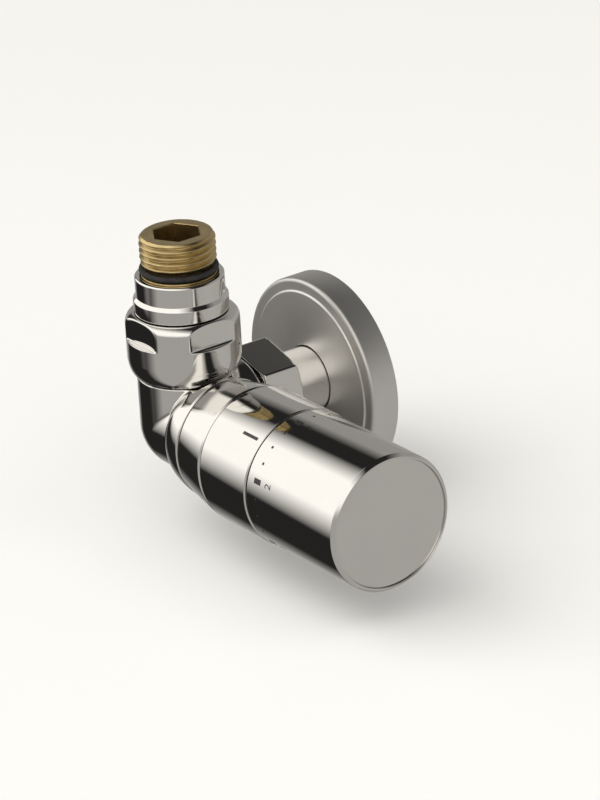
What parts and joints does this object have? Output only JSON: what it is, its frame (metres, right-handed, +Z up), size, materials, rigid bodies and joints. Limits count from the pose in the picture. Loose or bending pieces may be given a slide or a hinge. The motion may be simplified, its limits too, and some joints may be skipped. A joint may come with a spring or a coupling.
{
  "type": "thermostatic radiator valve",
  "caption": "Chrome corner valve for a radiator: union nut on top, head with a turning scale at the side, pipe leg with hexagon nut, sleeve and wall rosette at the back.",
  "frame": {"origin": "where the axis of the radiator tail crosses the radiator's lower face", "axes": "+Z up, along the tail into the radiator; +X along the radiator, towards the head's front; +Y into the wall, along the pipe"},
  "size_m": [0.119, 0.0686, 0.083],
  "materials": {
    "polished_chrome": "polished chrome plating on brass",
    "bare_brass": "turned brass",
    "bright_steel": "bright stainless steel",
    "black_rubber": "black rubber",
    "white_plastic": "moulded white plastic",
    "dark_plastic": "moulded dark plastic",
    "sensor_shell": "drawn copper alloy"
  },
  "bodies": {
    "valve": {"valve_body": "polished_chrome", "pipe_seal": "black_rubber", "thrust_ring": "bare_brass", "pipe_sleeve": "polished_chrome", "insert_housing": "bare_brass", "insert_o_ring": "black_rubber", "spring_guide": "bare_brass", "return_spring": "bright_steel", "gland_o_ring": "black_rubber", "gland_nut": "bare_brass", "head_core": "white_plastic", "head_base": "polished_chrome", "index_mark": "dark_plastic", "nut_retaining_ring": "bright_steel", "handle_snap_ring": "bright_steel", "limit_pin_low": "dark_plastic", "limit_pin_high": "dark_plastic"},
    "tail": {"tailpiece": "bare_brass", "tail_o_ring": "black_rubber", "radiator_o_ring": "black_rubber", "tail_sleeve": "polished_chrome"},
    "union": {"union_nut": "polished_chrome"},
    "pipe_nut": {"compression_nut": "polished_chrome"},
    "rosette": {"wall_rosette": "polished_chrome", "rosette_o_ring": "black_rubber"},
    "ring_nut": {"head_ring_nut": "polished_chrome"},
    "handle": {"head_handle": "polished_chrome", "handle_end_cap": "polished_chrome"},
    "sensor": {"sensor_carrier": "white_plastic", "sensor_cartridge": "sensor_shell", "overtravel_spring": "bright_steel", "spring_cap": "bare_brass"},
    "plunger": {"sensor_piston": "bright_steel", "push_pin": "dark_plastic", "valve_spindle": "bright_steel", "disc_holder": "bare_brass", "disc_seal": "black_rubber"}
  },
  "joints": [
    {"name": "handle_turn", "type": "hinge", "parent": "valve", "child": "handle", "pos_m": [0.06, 0, -0.0435], "axis": [1, 0, 0], "range_deg": [-150, 150]},
    {"name": "setting_slide", "type": "slide", "parent": "valve", "child": "sensor", "axis": [1, 0, 0], "range_m": [-0.0009, 0.0009]},
    {"name": "sensor_stroke", "type": "slide", "parent": "sensor", "child": "plunger", "axis": [1, 0, 0], "range_m": [-0.001, 0.001], "deforming": ["return_spring"]},
    {"name": "union_nut_turn", "type": "hinge", "parent": "valve", "child": "union", "pos_m": [0, 0, -0.02], "axis": [0, 0, 1], "range_deg": [0, 2040]},
    {"name": "tail_swivel", "type": "hinge", "parent": "valve", "child": "tail", "pos_m": [0, 0, -0.01], "axis": [0, 0, 1], "continuous": true},
    {"name": "pipe_nut_turn", "type": "hinge", "parent": "valve", "child": "pipe_nut", "pos_m": [0, 0.0237, -0.0435], "axis": [0, 1, 0], "range_deg": [0, 1392]},
    {"name": "ring_nut_turn", "type": "hinge", "parent": "valve", "child": "ring_nut", "pos_m": [0.0245, 0, -0.0435], "axis": [1, 0, 0], "range_deg": [0, 1392]},
    {"name": "rosette_slide", "type": "slide", "parent": "valve", "child": "rosette", "axis": [0, 1, 0], "range_m": [-0.0105, 0]}
  ],
  "couplings": [
    {"joint": "setting_slide", "follows": "handle_turn", "m_per_rad": 0.00034}
  ]
}
